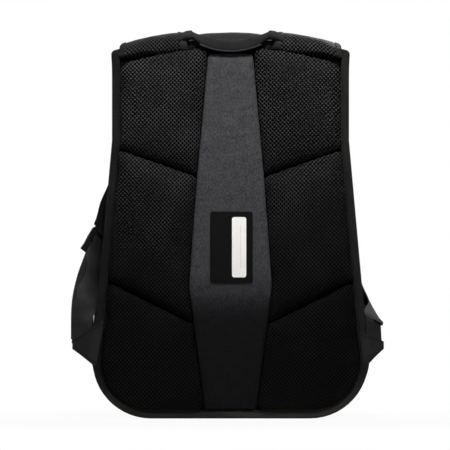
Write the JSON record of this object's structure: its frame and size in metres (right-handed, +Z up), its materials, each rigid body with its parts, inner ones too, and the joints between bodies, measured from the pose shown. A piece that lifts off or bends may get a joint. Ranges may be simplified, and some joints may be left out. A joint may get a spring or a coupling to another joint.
{
  "type": "racket backpack",
  "caption": "Racket backpack with a padded mesh back, spine strip, swinging shoulder straps, grab handle, zipped main and racket compartments and pockets.",
  "frame": {"origin": "on the floor, in the middle of the back panel's lower edge", "axes": "+Z up, -Y out of the padded back towards the wearer, +X to the right when facing the padded back"},
  "size_m": [0.3405, 0.1824, 0.4274],
  "materials": {
    "spacer_mesh": "knitted spacer mesh over foam, matt",
    "heather_knit": "heathered knit, matt",
    "leather_patch": "smooth black leather, semi-matt",
    "paper_card": "coated white card",
    "edge_tape": "grosgrain binding tape",
    "shell_fabric": "woven polyester",
    "lining_fabric": "plain lining cloth",
    "pocket_mesh": "stretch pocket cloth",
    "handle_fabric": "folded fabric with a webbing core",
    "webbing": "ribbed polyester webbing",
    "zip_chain": "coil zip on woven tape",
    "zip_metal": "black enamelled",
    "pull_rubber": "moulded rubber",
    "moulded_plastic": "moulded acetal, satin gloss",
    "stiff_board": "polyethylene sheet"
  },
  "bodies": {
    "bag": {"back_panel": "spacer_mesh", "back_board": "stiff_board", "back_binding": "edge_tape", "spine_strip": "heather_knit", "name_patch": "leather_patch", "name_card": "paper_card", "pad_upper_left": "spacer_mesh", "pad_upper_right": "spacer_mesh", "pad_middle_left": "spacer_mesh", "pad_middle_right": "spacer_mesh", "pad_lower_left": "spacer_mesh", "pad_lower_right": "spacer_mesh", "base_panel": "shell_fabric", "side_panel_left": "shell_fabric", "side_panel_right": "shell_fabric", "zip_gusset_back": "shell_fabric", "zip_gusset_front": "shell_fabric", "main_zip": "zip_chain", "divider": "lining_fabric", "racket_gusset": "shell_fabric", "racket_zip": "zip_chain", "racket_front": "shell_fabric", "front_pocket": "shell_fabric", "pocket_zip": "zip_chain", "side_pocket_left": "pocket_mesh", "side_pocket_right": "pocket_mesh", "pocket_hem_left": "edge_tape", "pocket_hem_right": "edge_tape", "handle_anchor_left": "webbing", "handle_anchor_right": "webbing", "strap_root_left": "spacer_mesh", "strap_root_right": "spacer_mesh"},
    "strap_left": {"strap_pad_left": "shell_fabric", "strap_lining_left": "spacer_mesh", "strap_tab_left": "webbing", "ladder_lock_left": "moulded_plastic", "strap_webbing_left": "webbing", "strap_wing_left": "shell_fabric"},
    "strap_right": {"strap_pad_right": "shell_fabric", "strap_lining_right": "spacer_mesh", "strap_tab_right": "webbing", "ladder_lock_right": "moulded_plastic", "strap_webbing_right": "webbing", "strap_wing_right": "shell_fabric"},
    "handle": {"handle_band": "handle_fabric", "handle_piping": "edge_tape"},
    "main_slider_upper": {"main_slider_upper": "zip_metal"},
    "main_slider_lower": {"main_slider_lower": "zip_metal"},
    "racket_slider": {"racket_slider": "zip_metal"},
    "pocket_slider": {"pocket_slider": "zip_metal"},
    "main_pull_upper": {"main_pull_upper": "pull_rubber"},
    "main_pull_lower": {"main_pull_lower": "pull_rubber"},
    "racket_pull": {"racket_pull": "pull_rubber"},
    "pocket_pull": {"pocket_pull": "pull_rubber"}
  },
  "joints": [
    {"name": "strap_left_swing", "type": "hinge", "parent": "bag", "child": "strap_left", "pos_m": [-0.086, 0.008, 0.405], "axis": [0.1672, 0.0377, 0.9852], "range_deg": [0, 105]},
    {"name": "strap_right_swing", "type": "hinge", "parent": "bag", "child": "strap_right", "pos_m": [0.086, 0.008, 0.405], "axis": [0.1672, -0.0377, -0.9852], "range_deg": [0, 105]},
    {"name": "handle_lift", "type": "hinge", "parent": "bag", "child": "handle", "pos_m": [0, -0.0075, 0.414], "axis": [-1, 0, 0], "range_deg": [0, 165]},
    {"name": "main_zip_upper_slide", "type": "slide", "parent": "bag", "child": "main_slider_upper", "axis": [-0.0892, 0, 0.996], "range_m": [0, 0.038]},
    {"name": "main_pull_upper_swing", "type": "hinge", "parent": "main_slider_upper", "child": "main_pull_upper", "pos_m": [0.13018, 0.046, 0.25238], "axis": [0, -1, 0], "range_deg": [0, 150]},
    {"name": "main_zip_lower_slide", "type": "slide", "parent": "bag", "child": "main_slider_lower", "axis": [0.0892, 0, -0.996], "range_m": [0, 0.014]},
    {"name": "main_pull_lower_swing", "type": "hinge", "parent": "main_slider_lower", "child": "main_pull_lower", "pos_m": [0.13287, 0.046, 0.22237], "axis": [0, -1, 0], "range_deg": [0, 150]},
    {"name": "racket_zip_slide", "type": "slide", "parent": "bag", "child": "racket_slider", "axis": [-0.0895, 0, 0.996], "range_m": [0, 0.074]},
    {"name": "racket_pull_swing", "type": "hinge", "parent": "racket_slider", "child": "racket_pull", "pos_m": [0.12743, 0.1176, 0.21638], "axis": [0, -1, 0], "range_deg": [0, 150]},
    {"name": "pocket_zip_slide", "type": "slide", "parent": "bag", "child": "pocket_slider", "axis": [-1, 0, 0], "range_m": [0, 0.124]},
    {"name": "pocket_pull_swing", "type": "hinge", "parent": "pocket_slider", "child": "pocket_pull", "pos_m": [0.062, 0.1631, 0.16], "axis": [0, 0, -1], "range_deg": [0, 150]}
  ]
}
